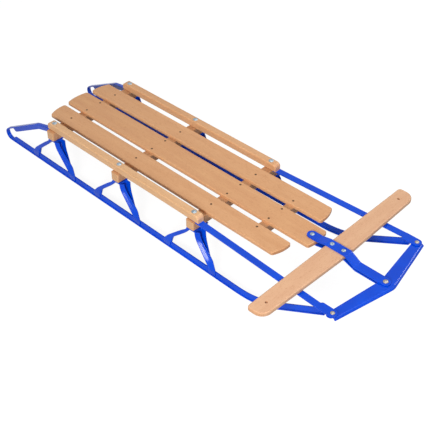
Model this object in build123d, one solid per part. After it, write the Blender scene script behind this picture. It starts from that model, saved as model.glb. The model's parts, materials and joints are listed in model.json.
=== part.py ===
from build123d import *
import math
import os

os.makedirs("parts", exist_ok=True)

# Steel-runner steering sled.
# +X is forward, +Y is the rider's left, +Z is up. z = 0 is the snow under the runners and the
# origin lies midway between the runners, half way along the sled.
# All sizes are millimetres.

# Deck
deckHeight = 125.5            # top of the slats over the snow
slatThickness = 8.5
centreSlatWidth = 70.0
sideSlatWidth = 57.0
slatGap = 16.0
slatFanAngle = 0.4            # degrees that the side slats open towards the front
slatEndRise = 5.0             # how far the ends bow out
slatCornerRadius = 7.0
slatEdgeRadius = 2.5
centreSlatRearOverhang = 73.0
centreSlatFrontOverhang = 134.0
sideSlatRearOverhang = 69.0
sideSlatFrontOverhang = 100.0
sideSlatEndSkew = 10.0        # the outer corner stops this much short of the inner one

# Cross benches under the slats
rearBenchX = -397.0
middleBenchStep = 258.0
frontBenchStep = 267.0
noseBenchStep = 135.0
benchWidth = 26.0
benchThickness = 25.0
benchHalfLength = 155.5
benchCornerRadius = 4.0
benchEdgeRadius = 2.5
noseBenchWidth = 22.0
noseBenchHalfLength = 86.0

# Side rails
railWidth = 21.5
railHeight = 20.0
railY = 137.0                 # at the middle bench
railFanAngle = 0.4            # degrees that the rails open towards the front
railRearOverhang = 19.0
railFrontOverhang = 23.0
railEdgeRadius = 3.0
railEndRadius = 10.0          # the top edge of each end is well rounded

# Flat side bars and the rear ends of the runners, let into the bench tops
barThickness = 3.0
barWidth = 17.5
barToeOut = 2.0               # the flat bar meets its tab this far outside the corner rivet
barRearInset = 13.0           # the flat bar starts this far behind the front bench's middle
letInClearance = 0.3

# Runner section, an upside-down T
treadWidth = 12.0
treadThickness = 3.0
webThickness = 3.5
runnerHeight = 16.5
runnerRearX = -607.0
runnerRearY = 150.5
runnerHingeY = 162.0
loopRadius = 18.5
returnSlope = 28.6
returnKinkStep = 73.0         # the return run eases off this far behind the rear bench
webCutBack = 12.5             # bare tread on each side of the rear loop
noseBendRadius = 273.0
noseSlope = 28.75
webAtEyelet = 21.0            # tread bottom under the flat bar's lower face, at the eyelet
eyeletSetback = 31.0          # eyelet behind the corner rivet
runnerFrontSetback = 18.0     # end of the runner behind the corner rivet
eyeletRadius = 4.0

# Pressed knees
kneeSheet = 2.2
kneePlateInnerY = 128.5
kneePlateOuterY = 155.0
kneeFrontFootStep = 82.0      # middle of the front foot ahead of the bench's middle
kneeRearFootStep = 72.0
kneeFootWidth = 26.0
kneeFootDepth = 7.5           # from the foot's outer face to the inner edge of the channel
kneeFrontLegWidth = 26.0      # across the channel under the bench
kneeRearLegWidth = 18.0
kneeRearLegInset = 5.0        # the rear leg's outer face inside the front leg's

# Side views of the legs' channels: below the bench, ahead of its middle, outer and inner depth
frontLegLine = [(0.0, 13.5, 22.0, 16.0), (12.0, 16.5, 24.0, 18.0), (22.0, 22.5, 27.0, 18.0),
                (58.0, 54.4, 26.5, 14.0)]
rearLegLine = [(0.0, 6.5, 6.5, 5.0), (11.0, 7.0, 9.0, 6.0), (24.0, 17.5, 16.0, 9.0),
               (58.5, 57.0, 16.0, 9.0)]

# Steering
pivotInset = 21.0             # pivot behind the front end of the centre slat
linkageArm = 210.0            # pivot to the bumper's middle rivet
steeringBarOffset = 74.5      # middle of the steering bar ahead of the pivot
steeringBarLength = 560.0
steeringBarWidth = 55.0
steeringBarEndWidth = 47.0
steeringBarThickness = 9.5
steeringBarLift = 5.0         # clear height of the steering bar over the flat side bars
steeringBarEdgeRadius = 3.5
steeringBarRearCorner = 9.0
steeringBarFrontCorner = 26.0
ropeHoleInset = 38.0
ropeHoleRadius = 3.5
strapWidth = 25.0
strapThickness = 3.0
barScrewSpacing = 33.0

# Bumper
cornerSetback = 25.0          # corner rivets behind the middle rivet
cornerY = 157.2
bumperThickness = 3.0
bumperHalfLength = 170.0
bumperRearAtCorner = 10.0     # edges of the flat part behind and ahead of the rivets
bumperFrontAtCorner = 8.5
bumperRearAtMiddle = 12.0
bumperFrontAtMiddle = 17.0
bumperApexRadius = 30.0
bumperCornerRadius = 8.0
lipRadius = 9.5               # top of the rolled front lip
lipAngle = 60.0               # how far the lip rolls down
lipInset = 6.0                # the lip stops this far short of each end
tabRadius = 11.5
tabLength = 33.0              # the tab's straight sides behind the corner rivet
tabShoulder = 6.0             # and the taper from the flat bar's width to the tab's

# Fixings and running clearances
railBoltRadius = 3.0
railBoltHeadRadius = 6.0
railBoltHeadHeight = 3.2
screwRadius = 2.5
screwHeadRadius = 5.5
screwHeadHeight = 2.2
rivetRadius = 3.0
rivetHeadRadius = 5.5
rivetHeadHeight = 2.8
middleRivetHeadRadius = 6.5
nutHeight = 4.0
boltHoleClearance = 0.25
pivotHoleClearance = 0.5
slideGap = 0.3                # between pieces that slide over each other
hingeCutRadius = 22.0
hingeCutGap = 1.0

# Worked-out levels and places
slatBottomZ = deckHeight - slatThickness
benchTopZ = slatBottomZ
benchBottomZ = benchTopZ - benchThickness
barBottomZ = benchTopZ - barThickness
kneePlateBottomZ = benchBottomZ - kneeSheet
steeringBarBottomZ = benchTopZ + steeringBarLift
middleBenchX = rearBenchX + middleBenchStep
frontBenchX = middleBenchX + frontBenchStep
noseBenchX = frontBenchX + noseBenchStep
kneeBenches = {"rear": rearBenchX, "middle": middleBenchX, "front": frontBenchX}
sideSlatY = (centreSlatWidth + sideSlatWidth) / 2 + slatGap
pivotX = noseBenchX + centreSlatFrontOverhang - pivotInset
bumperRivetX = pivotX + linkageArm
cornerX = bumperRivetX - cornerSetback
hingeX = cornerX - linkageArm
steeringBarX = pivotX + steeringBarOffset
eyeletX = cornerX - eyeletSetback
bumperTopZ = barBottomZ - slideGap
bumperBottomZ = bumperTopZ - bumperThickness
sides = {"left": 1, "right": -1}


def railLineY(x):
    """The rail's middle line in plan."""
    return railY + (x - middleBenchX) * math.tan(math.radians(railFanAngle))


def save(solid, node):
    """Write one node as parts/NODE.step."""
    solid.label = node
    export_step(solid, f"parts/{node}.step")


def mirrored(solid, side):
    """Solids are drawn for the left side; the right one is their mirror image."""
    return solid if side > 0 else mirror(solid, about=Plane.XZ)


def plateFromPlan(points, bottomZ, height):
    """A flat plate with a straight-sided outline in plan."""
    outline = make_face(Polyline(*points, close=True))
    return Pos(0, 0, bottomZ) * extrude(outline, height)


def upright(x, y, radius, bottomZ, topZ):
    return Pos(x, y, (bottomZ + topZ) / 2) * Cylinder(radius, topZ - bottomZ)


def domedHead(x, y, bottomZ, radius, height):
    """A shallow dome, as on a carriage bolt or a rivet."""
    ballRadius = (radius**2 + height**2) / (2 * height)
    ball = Pos(x, y, bottomZ + height - ballRadius) * Sphere(ballRadius)
    return ball & upright(x, y, radius + 1, bottomZ, bottomZ + height)


# Slats

def slat(length, width, skew):
    """A slat lying along +X with its middle at the origin, bowed ends and rounded corners."""
    rear, front, half = -length / 2, length / 2, width / 2
    bow = slatEndRise
    outline = make_face([
        Line((rear + bow, -half), (front - bow, -half)),
        ThreePointArc((front - bow, -half), (front - skew / 2, 0), (front - bow - skew, half)),
        Line((front - bow - skew, half), (rear + bow + skew, half)),
        ThreePointArc((rear + bow + skew, half), (rear + skew / 2, 0), (rear + bow, -half)),
    ])
    outline = fillet(outline.vertices(), slatCornerRadius)
    solid = extrude(outline, slatThickness)
    top = solid.faces().sort_by(Axis.Z)[-1]
    return fillet(top.edges(), slatEdgeRadius)


def placedSlat(rearX, frontX, width, y, skew, fan):
    length = frontX - rearX
    blank = slat(length, width, skew)
    return Pos((rearX + frontX) / 2, y, slatBottomZ) * Rot(0, 0, fan) * blank


centreSlat = placedSlat(rearBenchX - centreSlatRearOverhang, noseBenchX + centreSlatFrontOverhang,
                        centreSlatWidth, 0, 0, 0)
centreSlat -= upright(pivotX, 0, screwRadius + boltHoleClearance, slatBottomZ - 1, deckHeight + 1)
sideSlat = placedSlat(rearBenchX - sideSlatRearOverhang, noseBenchX + sideSlatFrontOverhang,
                      sideSlatWidth, sideSlatY, sideSlatEndSkew, slatFanAngle)
save(centreSlat, "slat_centre")
for name, side in sides.items():
    save(mirrored(sideSlat, side), f"slat_{name}")


# Runners, drawn in side view and turned to their line in plan

runnerRearAngle = math.degrees(math.atan2(runnerHingeY - runnerRearY, hingeX - runnerRearX))
runnerFrontAngle = math.degrees(math.atan2(cornerY - runnerHingeY, eyeletX - hingeX))
slopeRun = math.tan(math.radians(noseSlope))
eyeletTreadZ = barBottomZ - webAtEyelet
noseBendMeetX = eyeletX - eyeletTreadZ / slopeRun
noseBendStartX = noseBendMeetX - noseBendRadius * math.tan(math.radians(noseSlope / 2))
runnerFrontX = cornerX - runnerFrontSetback


def nosePath(offset, startX, endX):
    """The tread's lower face from startX to endX, moved up into the section by offset."""
    turn = math.radians(noseSlope)
    radius = noseBendRadius - offset
    centre = (noseBendStartX, noseBendRadius)
    bendEnd = (centre[0] + radius * math.sin(turn), centre[1] - radius * math.cos(turn))
    bendMiddle = (centre[0] + radius * math.sin(turn / 2), centre[1] - radius * math.cos(turn / 2))
    end = (endX, bendEnd[1] + (endX - bendEnd[0]) * math.tan(turn))
    return [(startX, offset), (centre[0], offset), bendMiddle, bendEnd, end]


def noseBand(low, high, startX, endX):
    """The side view of the section's layer between two offsets from the tread's lower face."""
    a = nosePath(low, startX, endX)
    b = nosePath(high, startX, endX)
    return make_face([
        Line(a[0], a[1]), ThreePointArc(a[1], a[2], a[3]), Line(a[3], a[4]),
        Line(a[4], b[4]), Line(b[4], b[3]), ThreePointArc(b[3], b[2], b[1]), Line(b[1], b[0]),
        Line(b[0], a[0]),
    ])


def standing(face, width):
    """A side view in X and Z, given width evenly to both sides of y = 0."""
    return extrude(Plane.XZ * face, width / 2, both=True)


def layFrom(solid, pointX, pointY, angle):
    """Turn a solid about the upright line at pointX so that it passes through pointY there."""
    return Pos(pointX, pointY, 0) * Rot(0, 0, angle) * Pos(-pointX, 0, 0) * solid


runnerMiddleX = (runnerRearX + hingeX) / 2
tread = standing(noseBand(0, treadThickness, runnerMiddleX, runnerFrontX), treadWidth)
web = standing(noseBand(treadThickness, runnerHeight, runnerMiddleX, runnerFrontX), webThickness)
belowBar = Pos(runnerFrontX, 0, barBottomZ / 2)
belowBar *= Box(3 * (runnerFrontX - runnerMiddleX), 3 * treadWidth, barBottomZ)
noseRunner = (tread + web) & belowBar
eyelet = Pos(eyeletX, 0, barBottomZ - webAtEyelet / 2 + treadThickness / 2) * Rot(90, 0, 0)
noseRunner -= eyelet * Cylinder(eyeletRadius, 4 * webThickness)

hingeDisc = upright(hingeX, cornerY, hingeCutRadius, -1, deckHeight)
hingeSocket = upright(hingeX, cornerY, hingeCutRadius + hingeCutGap, -1, deckHeight)
zoneLength = 2 * (cornerX - runnerRearX)
halfZone = Box(zoneLength, 2 * cornerY, deckHeight + 2)
frontHalf = Pos(hingeX + zoneLength / 2, cornerY, deckHeight / 2) * halfZone
rearHalf = Pos(hingeX - zoneLength / 2, cornerY, deckHeight / 2) * halfZone
movingZone = frontHalf + hingeDisc
fixedZone = rearHalf - hingeSocket

frontRunner = layFrom(noseRunner, hingeX, runnerHingeY, runnerFrontAngle) & movingZone

# The rear runner: along the snow, round the loop and back up to the rear bench
slope = math.radians(returnSlope)
loopCentre = (runnerRearX + loopRadius, loopRadius)
returnEndX = rearBenchX + barRearInset
returnAngle = math.degrees(math.atan2(railLineY(rearBenchX) - runnerRearY, rearBenchX - runnerRearX))
returnKinkX = rearBenchX - returnKinkStep
webEndX = rearBenchX - benchWidth / 2 - letInClearance


def returnPath(offset, back=0):
    """Tread's outer face from the loop over the kink to the bench, moved in by offset."""
    radius = loopRadius - offset
    topX = loopCentre[0] - radius * math.sin(slope) + back * math.cos(slope)
    topZ = loopCentre[1] + radius * math.cos(slope) + back * math.sin(slope)
    kinkZ = topZ + (returnKinkX - topX) * math.tan(slope)
    levelZ = benchTopZ - offset
    return (topX, topZ), (returnKinkX, kinkZ), (webEndX, levelZ)


def loopPoint(offset, turn):
    """A point on the loop, turned by so many radians from its lowest point."""
    radius = loopRadius - offset
    return (loopCentre[0] - radius * math.sin(turn), loopCentre[1] - radius * math.cos(turn))


def runnerStrip(start, end, outerPath, innerPath):
    """Side view of the tread between two turns of the loop, closed by the run that follows."""
    middle = (start + end) / 2
    return make_face([
        ThreePointArc(loopPoint(0, start), loopPoint(0, middle), loopPoint(0, end)),
        Polyline(loopPoint(0, end), *outerPath, *reversed(innerPath), loopPoint(treadThickness, end)),
        ThreePointArc(loopPoint(treadThickness, end), loopPoint(treadThickness, middle),
                      loopPoint(treadThickness, start)),
        Line(loopPoint(treadThickness, start), loopPoint(0, start)),
    ])


quarterTurn = math.pi / 2
lowerTreadFace = runnerStrip(quarterTurn, 0, [(runnerMiddleX, 0)], [(runnerMiddleX, treadThickness)])
outerRun = list(returnPath(0))[1:] + [(returnEndX, benchTopZ)]
innerRun = list(returnPath(treadThickness))[1:] + [(returnEndX, benchTopZ - treadThickness)]
returnTreadFace = runnerStrip(quarterTurn, math.pi - slope, outerRun, innerRun)
webUpper = returnPath(treadThickness, webCutBack)
webLower = returnPath(runnerHeight, webCutBack)
returnWebFace = make_face(Polyline(*webUpper, *reversed(webLower), close=True))
lowerWebStart = loopCentre[0] + webCutBack
lowerWebFace = make_face(Polyline((lowerWebStart, treadThickness), (runnerMiddleX, treadThickness),
                                  (runnerMiddleX, runnerHeight), (lowerWebStart, runnerHeight),
                                  close=True))
lowerRun = standing(lowerTreadFace, treadWidth) + standing(lowerWebFace, webThickness)
returnRun = standing(returnTreadFace, treadWidth) + standing(returnWebFace, webThickness)
lowerRun = layFrom(lowerRun + noseRunner, runnerRearX, runnerRearY, runnerRearAngle)
returnRun = layFrom(returnRun, runnerRearX, runnerRearY, returnAngle)
railBoltHole = {name: upright(x, railLineY(x), railBoltRadius + boltHoleClearance, 0, deckHeight * 2)
                for name, x in kneeBenches.items()}
rearRunner = ((lowerRun & fixedZone) + returnRun) - railBoltHole["rear"]
for name, side in sides.items():
    save(mirrored(rearRunner, side), f"runner_rear_{name}")
    save(mirrored(frontRunner, side), f"runner_front_{name}")


# Flat side bars, with the tab that lies on the bumper

sideBarRearX = frontBenchX - barRearInset
railFrontX = frontBenchX + railFrontOverhang


def sideBarPlan(width):
    """Outline of the flat bar in plan, from under the rail to the corner rivet."""
    tabX = cornerX - tabLength
    toe = (tabX - tabShoulder, cornerY + barToeOut)
    line = [(sideBarRearX, railLineY(sideBarRearX)), toe]
    outline = [(x, y + width / 2) for x, y in line]
    outline += [(tabX, cornerY + tabRadius), (cornerX, cornerY + tabRadius)]
    outline += [(cornerX, cornerY - tabRadius), (tabX, cornerY - tabRadius)]
    return outline + [(x, y - width / 2) for x, y in reversed(line)]


sideBar = plateFromPlan(sideBarPlan(barWidth), barBottomZ, barThickness)
sideBar += upright(cornerX, cornerY, tabRadius, barBottomZ, benchTopZ)
cornerHole = upright(cornerX, cornerY, rivetRadius + boltHoleClearance, 0, deckHeight)
rearSideBar = (sideBar & fixedZone) - railBoltHole["front"]
frontSideBar = (sideBar & movingZone) - cornerHole
for name, side in sides.items():
    save(mirrored(rearSideBar, side), f"side_bar_rear_{name}")
    save(mirrored(frontSideBar, side), f"side_bar_front_{name}")


# Benches, with the bars let into their tops

def bench(x, width, halfLength):
    solid = Pos(x, 0, (benchTopZ + benchBottomZ) / 2) * Box(width, 2 * halfLength, benchThickness)
    solid = fillet(solid.edges().filter_by(Axis.Z), benchCornerRadius)
    return fillet(solid.faces().sort_by(Axis.Z)[0].edges(), benchEdgeRadius)


frontLetIn = plateFromPlan(sideBarPlan(barWidth + 2 * letInClearance), barBottomZ, barThickness + 1)
rearLetIn = Pos(rearBenchX, railLineY(rearBenchX), benchTopZ - treadThickness + benchThickness / 2)
rearLetIn *= Rot(0, 0, returnAngle) * Box(2 * benchWidth, treadWidth + 2 * letInClearance, benchThickness)
letIns = {"rear": rearLetIn, "front": frontLetIn}
for name, x in kneeBenches.items():
    crossBench = bench(x, benchWidth, benchHalfLength)
    for side in sides.values():
        crossBench -= mirrored(railBoltHole[name], side)
        if name in letIns:
            crossBench -= mirrored(letIns[name], side)
    save(crossBench, f"bench_{name}")
save(bench(noseBenchX, noseBenchWidth, noseBenchHalfLength), "bench_nose")


# Side rails

railRearX = rearBenchX - railRearOverhang
railLength = railFrontX - railRearX
rail = Box(railLength, railWidth, railHeight)
rail = fillet(rail.edges().filter_by(Axis.Y).group_by(Axis.Z)[-1], railEndRadius)
rail = fillet(rail.faces().filter_by(Axis.Y).edges(), railEdgeRadius)
railMiddleX = (railRearX + railFrontX) / 2
rail = Pos(railMiddleX, railLineY(railMiddleX), benchTopZ + railHeight / 2) * Rot(0, 0, railFanAngle) * rail
for hole in railBoltHole.values():
    rail -= hole
for name, side in sides.items():
    save(mirrored(rail, side), f"rail_{name}")


# Pressed knees: a plate under the bench and two open channels down to the runner

def channelSection(x, outerY, width, outerDepth, innerDepth, direction, z):
    """A level U-shaped section. The web stands at x and the flanges point along direction."""
    t = kneeSheet
    innerY = outerY - width
    points = [(0, outerY), (outerDepth, outerY), (outerDepth, outerY - t), (t, outerY - t),
              (t, innerY + t), (innerDepth, innerY + t), (innerDepth, innerY), (0, innerY)]
    return Pos(x, 0, z) * make_face(Polyline(*[(direction * d, y) for d, y in points], close=True))


def runnerY(x):
    return runnerRearY + (x - runnerRearX) * math.tan(math.radians(runnerRearAngle))


def kneeLeg(benchX, direction, step, line, outerY, width):
    """One leg, with its foot lapped against the outer face of the runner's web."""
    footMiddle = benchX + direction * step
    footX = footMiddle - direction * kneeFootWidth / 2
    footInnerY = runnerY(footMiddle) + webThickness / 2 + letInClearance
    footOuterY = footInnerY + kneeSheet
    footTopZ = runnerHeight + 1
    height = benchBottomZ - footTopZ
    sections = []
    for drop, reach, outerDepth, innerDepth in line:
        down = drop / height
        sections.append(channelSection(benchX + direction * reach, outerY + (footOuterY - outerY) * down,
                                       width + (kneeFootDepth - width) * down, outerDepth, innerDepth,
                                       direction, benchBottomZ - drop))
    sections.append(channelSection(footX, footOuterY, kneeFootDepth, kneeFootWidth, kneeFootDepth / 2,
                                   direction, footTopZ))
    footBottomZ = treadThickness + 1
    lap = Pos(footMiddle, (footInnerY + footOuterY) / 2, (footTopZ + footBottomZ) / 2)
    return loft(sections, ruled=True) + lap * Box(kneeFootWidth, kneeSheet, footTopZ - footBottomZ)


def knee(name):
    x = kneeBenches[name]
    plateY = (kneePlateInnerY + kneePlateOuterY) / 2
    plateRear = x - rearLegLine[0][1] - kneeSheet / 2
    plateFront = x + frontLegLine[0][1] + kneeSheet
    plate = Pos((plateRear + plateFront) / 2, plateY, benchBottomZ - kneeSheet / 2)
    solid = plate * Box(plateFront - plateRear, kneePlateOuterY - kneePlateInnerY, kneeSheet)
    solid += kneeLeg(x, 1, kneeFrontFootStep, frontLegLine, kneePlateOuterY, kneeFrontLegWidth)
    solid += kneeLeg(x, -1, kneeRearFootStep, rearLegLine, kneePlateOuterY - kneeRearLegInset,
                     kneeRearLegWidth)
    return solid - railBoltHole[name]


for benchName in kneeBenches:
    for name, side in sides.items():
        save(mirrored(knee(benchName), side), f"knee_{benchName}_{name}")


# Bumper: a chevron plate with a rolled front lip

rearSlope = (cornerX - bumperRearAtCorner - bumperRivetX + bumperRearAtMiddle) / cornerY
frontSlope = (cornerX + bumperFrontAtCorner - bumperRivetX - bumperFrontAtMiddle) / cornerY
rearApexX = bumperRivetX - bumperRearAtMiddle
frontApexX = bumperRivetX + bumperFrontAtMiddle
lipEndY = bumperHalfLength - lipInset


def frontEdge(y):
    """Where the flat part ends and the lip begins."""
    return frontApexX + frontSlope * y


flangePoints = [(frontApexX, 0), (frontEdge(bumperHalfLength), bumperHalfLength),
                (rearApexX + rearSlope * bumperHalfLength, bumperHalfLength), (rearApexX, 0),
                (rearApexX + rearSlope * bumperHalfLength, -bumperHalfLength),
                (frontEdge(bumperHalfLength), -bumperHalfLength)]
flangeFace = make_face(Polyline(*flangePoints, close=True))
apex = flangeFace.vertices().sort_by(Axis.X)[-1]
flangeFace = fillet(apex, bumperApexRadius)
ends = [v for v in flangeFace.vertices() if abs(v.Y) > bumperHalfLength - 1]
flangeFace = fillet(ends, bumperCornerRadius)
flange = Pos(0, 0, bumperBottomZ) * extrude(flangeFace, bumperThickness)
lipPath = Pos(0, 0, bumperTopZ) * FilletPolyline((frontEdge(lipEndY), -lipEndY), (frontApexX, 0),
                                                 (frontEdge(lipEndY), lipEndY),
                                                 radius=bumperApexRadius)


def lipSection():
    """The rolled lip from the flat part's edge, drawn across its path."""
    roll = math.radians(lipAngle)
    outer = lipRadius
    inner = lipRadius - bumperThickness

    def onRoll(radius, turn):
        return (radius * math.sin(turn), radius * math.cos(turn) - lipRadius)

    back = -bumperThickness / 2
    return make_face([
        Polyline(onRoll(inner, 0), (back, -bumperThickness), (back, 0), onRoll(outer, 0)),
        ThreePointArc(onRoll(outer, 0), onRoll(outer, roll / 2), onRoll(outer, roll)),
        Line(onRoll(outer, roll), onRoll(inner, roll)),
        ThreePointArc(onRoll(inner, roll), onRoll(inner, roll / 2), onRoll(inner, 0)),
    ])


alongLip = lipPath % 0
lipStart = Plane(origin=lipPath @ 0, x_dir=alongLip.cross(Vector(0, 0, 1)), z_dir=-alongLip)
bumper = flange + sweep(lipStart * lipSection(), path=lipPath)
bumper -= upright(bumperRivetX, 0, rivetRadius + pivotHoleClearance, 0, deckHeight)
for side in sides.values():
    bumper -= upright(cornerX, side * cornerY, rivetRadius + pivotHoleClearance, 0, deckHeight)
save(bumper, "bumper")


# Steering bar and the two straps that hold it

def steeringBar():
    rear = -steeringBarWidth / 2
    front = steeringBarWidth / 2
    endFront = rear + steeringBarEndWidth
    end = steeringBarLength / 2
    points = [(rear, -end), (rear, end), (endFront, end), (front, strapWidth), (front, -strapWidth),
              (endFront, -end)]
    outline = make_face(Polyline(*points, close=True))
    corners = [v for v in outline.vertices() if abs(v.Y) > end - 1]
    rearCorners = [v for v in corners if v.X < 0]
    outline = fillet(rearCorners, steeringBarRearCorner)
    frontCorners = [v for v in outline.vertices() if abs(v.Y) > end - 1 and v.X > endFront - 1]
    outline = fillet(frontCorners, steeringBarFrontCorner)
    solid = extrude(outline, steeringBarThickness)
    solid = fillet(solid.faces().sort_by(Axis.Z)[-1].edges(), steeringBarEdgeRadius)
    solid = Pos(steeringBarX, 0, steeringBarBottomZ) * solid
    holeX = steeringBarX - (steeringBarWidth - steeringBarEndWidth) / 2
    for side in sides.values():
        y = side * (end - ropeHoleInset)
        solid -= upright(holeX, y, ropeHoleRadius, 0, 2 * deckHeight)
    return solid


def strap(lowerFace):
    """A bent flat strap from the side view of its lower face, with round ends."""
    upper = [(x, z + strapThickness) for x, z in reversed(lowerFace)]
    side = make_face(Polyline(*lowerFace, *upper, close=True))
    bent = standing(side, strapWidth)
    reach = bumperRivetX - pivotX
    outline = Pos((pivotX + bumperRivetX) / 2, 0, 0) * SlotCenterToCenter(reach, strapWidth)
    return bent & extrude(outline, 2 * deckHeight)


barRearX = steeringBarX - steeringBarWidth / 2
barFrontX = steeringBarX + steeringBarWidth / 2
strapRearX = pivotX - strapWidth / 2
strapFrontX = bumperRivetX + strapWidth / 2
upperPivotZ = deckHeight + slideGap
upperBarZ = steeringBarBottomZ + steeringBarThickness
upperBumperZ = bumperTopZ + slideGap
upperLine = [(strapRearX, upperPivotZ), (pivotX + 22, upperPivotZ), (barRearX, upperBarZ),
             (barFrontX + 1, upperBarZ), (barFrontX + 30, upperBumperZ), (strapFrontX, upperBumperZ)]
lowerPivotZ = slatBottomZ - slideGap - strapThickness
lowerBarZ = steeringBarBottomZ - strapThickness
lowerBumperZ = bumperBottomZ - slideGap - strapThickness
lowerLine = [(strapRearX, lowerPivotZ), (pivotX + 22, lowerPivotZ), (barRearX, lowerBarZ),
             (barFrontX + 1, lowerBarZ), (barFrontX + 32, lowerBumperZ), (strapFrontX, lowerBumperZ)]
barScrews = [steeringBarX - barScrewSpacing / 2, steeringBarX + barScrewSpacing / 2]
woodenBar = steeringBar()
straps = {"upper": strap(upperLine), "lower": strap(lowerLine)}
for x in barScrews:
    hole = upright(x, 0, screwRadius + boltHoleClearance, 0, 2 * deckHeight)
    woodenBar -= hole
    straps = {name: solid - hole for name, solid in straps.items()}
for name, solid in straps.items():
    solid -= upright(pivotX, 0, screwRadius + pivotHoleClearance, 0, 2 * deckHeight)
    solid -= upright(bumperRivetX, 0, rivetRadius + boltHoleClearance, 0, 2 * deckHeight)
    save(solid, f"strap_{name}")
save(woodenBar, "steering_bar")


# Fixings

def bolt(x, y, nutZ, headZ, radius, headRadius, headHeight):
    """A domed head at headZ, the shank, and a nut hung under nutZ."""
    solid = upright(x, y, radius, nutZ - nutHeight - 1, headZ)
    solid += domedHead(x, y, headZ, headRadius, headHeight)
    return solid + upright(x, y, headRadius * 0.8, nutZ - nutHeight, nutZ)


railBolts = [bolt(x, railLineY(x), kneePlateBottomZ, benchTopZ + railHeight, railBoltRadius,
                  railBoltHeadRadius, railBoltHeadHeight) for x in kneeBenches.values()]
cornerRivet = bolt(cornerX, cornerY, bumperBottomZ - slideGap, benchTopZ, rivetRadius,
                   rivetHeadRadius, rivetHeadHeight)
for name, side in sides.items():
    save(Compound(children=[mirrored(solid, side) for solid in railBolts]), f"rail_bolts_{name}")
    save(mirrored(cornerRivet, side), f"corner_rivet_{name}")
screws = [bolt(x, 0, lowerBarZ, upperBarZ + strapThickness, screwRadius, screwHeadRadius,
               screwHeadHeight) for x in barScrews]
save(Compound(children=screws), "bar_screws")
save(bolt(pivotX, 0, lowerPivotZ - slideGap, upperPivotZ + strapThickness + slideGap, screwRadius,
          screwHeadRadius, screwHeadHeight), "pivot_screw")
save(bolt(bumperRivetX, 0, lowerBumperZ, upperBumperZ + strapThickness, rivetRadius,
          middleRivetHeadRadius, rivetHeadHeight), "bumper_rivet")
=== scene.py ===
import json
import math

import bmesh
import bpy
from mathutils import Matrix, Vector


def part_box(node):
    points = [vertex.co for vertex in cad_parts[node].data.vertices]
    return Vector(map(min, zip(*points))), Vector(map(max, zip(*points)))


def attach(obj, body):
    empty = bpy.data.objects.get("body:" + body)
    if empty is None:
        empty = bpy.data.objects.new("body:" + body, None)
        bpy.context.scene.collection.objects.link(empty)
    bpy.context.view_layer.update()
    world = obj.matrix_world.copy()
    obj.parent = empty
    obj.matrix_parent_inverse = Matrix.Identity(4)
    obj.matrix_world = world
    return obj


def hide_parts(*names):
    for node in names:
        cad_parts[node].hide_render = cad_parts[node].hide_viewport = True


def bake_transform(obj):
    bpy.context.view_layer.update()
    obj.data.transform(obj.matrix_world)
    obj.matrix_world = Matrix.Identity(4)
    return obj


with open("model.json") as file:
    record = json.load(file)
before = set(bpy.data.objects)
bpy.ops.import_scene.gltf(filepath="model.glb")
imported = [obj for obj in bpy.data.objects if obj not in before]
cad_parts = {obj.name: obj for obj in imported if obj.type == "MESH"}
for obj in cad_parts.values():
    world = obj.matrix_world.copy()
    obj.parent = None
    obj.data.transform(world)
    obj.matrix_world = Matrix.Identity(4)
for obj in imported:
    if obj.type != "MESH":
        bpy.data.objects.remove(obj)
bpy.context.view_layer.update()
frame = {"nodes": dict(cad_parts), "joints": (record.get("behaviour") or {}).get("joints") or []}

# Steel-runner steering sled. Lengths in the settings are millimetres.
mm = 0.001
sides = {"left": 1, "right": -1}
scene = bpy.context.scene


# What the frame gives: levels and places in millimetres

def boxOf(cadNode):
    low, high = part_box(cadNode)
    return low / mm, high / mm


def middleOf(cadNode):
    low, high = boxOf(cadNode)
    return (low + high) / 2


hinge = next(Vector(joint["pos_m"]) / mm for joint in frame["joints"]
             if joint["name"] == "flex_left")
benches = {name: middleOf(f"bench_{name}").x for name in ("rear", "middle", "front", "nose")}
kneeBenches = ("rear", "middle", "front")
benchBottom, benchTop = (corner.z for corner in boxOf("bench_middle"))
slatBottom, slatTop = (corner.z for corner in boxOf("slat_centre"))
sideBarBottom = boxOf("side_bar_front_left")[0].z
railTop = boxOf("rail_left")[1].z
railBoltLow, railBoltHigh = boxOf("rail_bolts_left")
pivot = middleOf("pivot_screw")
bumperRivet = middleOf("bumper_rivet")
cornerRivet = middleOf("corner_rivet_left")
bumperTop = boxOf("bumper")[1].z
barLow, barHigh = boxOf("steering_bar")
upperStrapBottom, lowerStrapBottom = (boxOf(f"strap_{name}")[0].z for name in ("upper", "lower"))


def railLineY(x):
    # the rails fan out a little, so their bolts tell where the middle line runs
    cadHeadRadius = 6         # of the bolts in the CAD
    rearY, frontY = railBoltLow.y + cadHeadRadius, railBoltHigh.y - cadHeadRadius
    share = (x - benches["rear"]) / (benches["front"] - benches["rear"])
    return rearY + (frontY - rearY) * share


# Colours and node trees

def linear(hexColour):
    # the shaders take linear colour
    parts = [int(hexColour[i:i + 2], 16) / 255 for i in (1, 3, 5)]
    return [p / 12.92 if p <= 0.04045 else ((p + 0.055) / 1.055) ** 2.4 for p in parts] + [1]


def addNode(tree, kind, settings=None, links=None, ramp=None):
    # settings go to a property of that name or else to the input, links to inputs
    made = tree.nodes.new("ShaderNode" + kind)
    for key, value in (settings or {}).items():
        if isinstance(key, str) and hasattr(made, key):
            setattr(made, key, value)
        else:
            made.inputs[key].default_value = value
    for key, source in (links or {}).items():
        output = source if isinstance(source, bpy.types.NodeSocket) else source.outputs[0]
        tree.links.new(output, made.inputs[key])
    if ramp:
        stops = made.color_ramp.elements
        while len(stops) < len(ramp):
            stops.new(1)
        for stop, (place, value) in zip(stops, ramp):
            stop.position = place
            stop.color = linear(value) if isinstance(value, str) else [value] * 3 + [1]
    return made


def newMaterial(name):
    material = bpy.data.materials.new(name)
    material.use_nodes = True
    tree = material.node_tree
    tree.nodes.clear()
    return material, tree


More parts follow.
